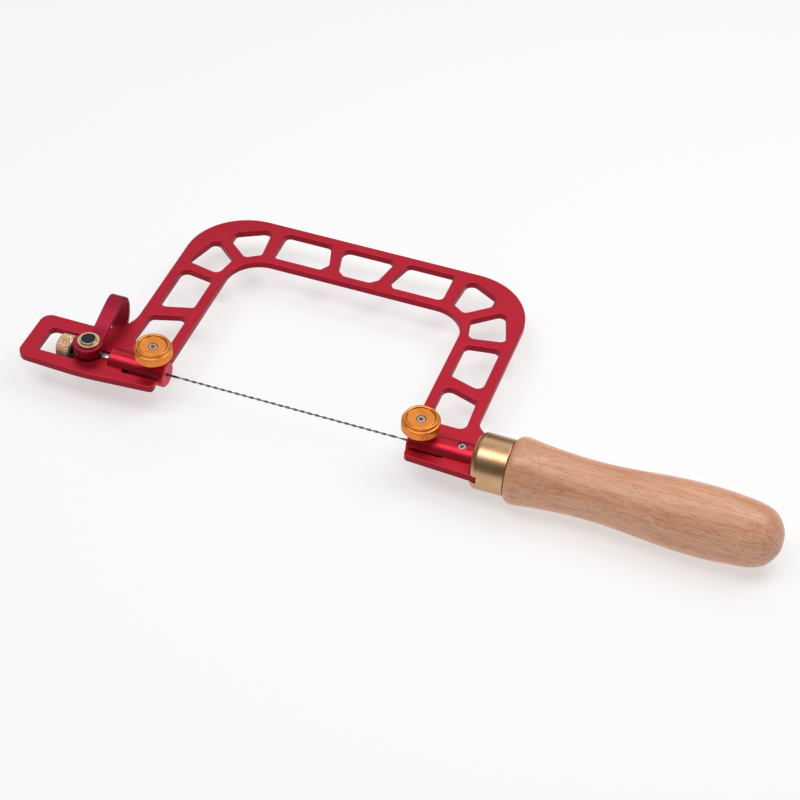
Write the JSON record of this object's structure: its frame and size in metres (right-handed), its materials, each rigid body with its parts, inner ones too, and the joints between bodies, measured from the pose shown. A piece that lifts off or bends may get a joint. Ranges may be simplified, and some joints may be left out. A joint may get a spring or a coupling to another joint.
{
  "type": "coping saw",
  "caption": "Coping saw with a skeletonised flat U frame, round blade holders with thumb clamps, cam-lever tensioner, brass ferrule and turned wooden handle.",
  "frame": {"origin": "centre of the footprint, at the level of the handle's lowest point; the saw lies flat", "axes": "+X along the blade axis from the tensioner to the handle, +Y from the blade to the frame's back, +Z normal to the plate on the side of the lever and knobs"},
  "size_m": [0.322, 0.1204, 0.0293],
  "materials": {
    "red_anodised": "satin anodised, fine grain",
    "gold_anodised": "satin anodised, turned",
    "steel": "turned, bright",
    "black_steel": "blackened, satin",
    "brass": "turned, satin",
    "blade_steel": "dark tempered steel",
    "beech": "oiled beech, fine short flecks",
    "black_nylon": "matt black"
  },
  "bodies": {
    "frame": {"frame_plate": "red_anodised", "fixed_holder": "red_anodised", "holder_set_screw": "steel", "blade": "blade_steel", "ferrule": "brass", "handle": "beech", "cam_barrel": "steel", "cam_cap": "black_steel", "cam_bush": "brass", "cam_washer": "black_nylon", "barrel_clip": "black_steel"},
    "cam_lever": {"cam_lever": "red_anodised"},
    "saddle": {"saddle_washer": "black_nylon"},
    "nut": {"tension_nut": "brass"},
    "tension_carriage": {"tension_rod": "steel", "tension_holder": "red_anodised"},
    "tension_pad": {"tension_clamp_pad": "brass"},
    "tension_knob": {"tension_clamp_knob": "gold_anodised", "tension_clamp_screw": "steel"},
    "fixed_pad": {"fixed_clamp_pad": "brass"},
    "fixed_knob": {"fixed_clamp_knob": "gold_anodised", "fixed_clamp_screw": "steel"}
  },
  "joints": [
    {"name": "cam_lever_turn", "type": "hinge", "parent": "frame", "child": "cam_lever", "pos_m": [-0.1329, -0.04587, 0.01435], "axis": [0, 0, 1], "range_deg": [0, 42]},
    {"name": "saddle_slide", "type": "slide", "parent": "frame", "child": "saddle", "axis": [1, 0, 0], "range_m": [0, 0.0009]},
    {"name": "nut_turn", "type": "hinge", "parent": "saddle", "child": "nut", "pos_m": [-0.1432, -0.04587, 0.01435], "axis": [1, 0, 0], "range_deg": [-720, 720]},
    {"name": "rod_feed", "type": "slide", "parent": "saddle", "child": "tension_carriage", "axis": [1, 0, 0], "range_m": [-0.0014, 0.0014]},
    {"name": "tension_pad_slide", "type": "slide", "parent": "tension_carriage", "child": "tension_pad", "axis": [0, 0, 1], "range_m": [0, 0.0014]},
    {"name": "tension_knob_turn", "type": "hinge", "parent": "tension_pad", "child": "tension_knob", "pos_m": [-0.1033, -0.04587, 0.02535], "axis": [0, 0, 1], "range_deg": [0, 720]},
    {"name": "fixed_pad_slide", "type": "slide", "parent": "frame", "child": "fixed_pad", "axis": [0, 0, 1], "range_m": [0, 0.0014]},
    {"name": "fixed_knob_turn", "type": "hinge", "parent": "fixed_pad", "child": "fixed_knob", "pos_m": [0.01305, -0.04587, 0.02535], "axis": [0, 0, 1], "range_deg": [0, 720]}
  ],
  "couplings": [
    {"joint": "cam_lever_turn", "follows": "saddle_slide", "rad_per_m": 813},
    {"joint": "nut_turn", "follows": "rod_feed", "rad_per_m": -8976},
    {"joint": "tension_knob_turn", "follows": "tension_pad_slide", "rad_per_m": 8976},
    {"joint": "fixed_knob_turn", "follows": "fixed_pad_slide", "rad_per_m": 8976}
  ]
}
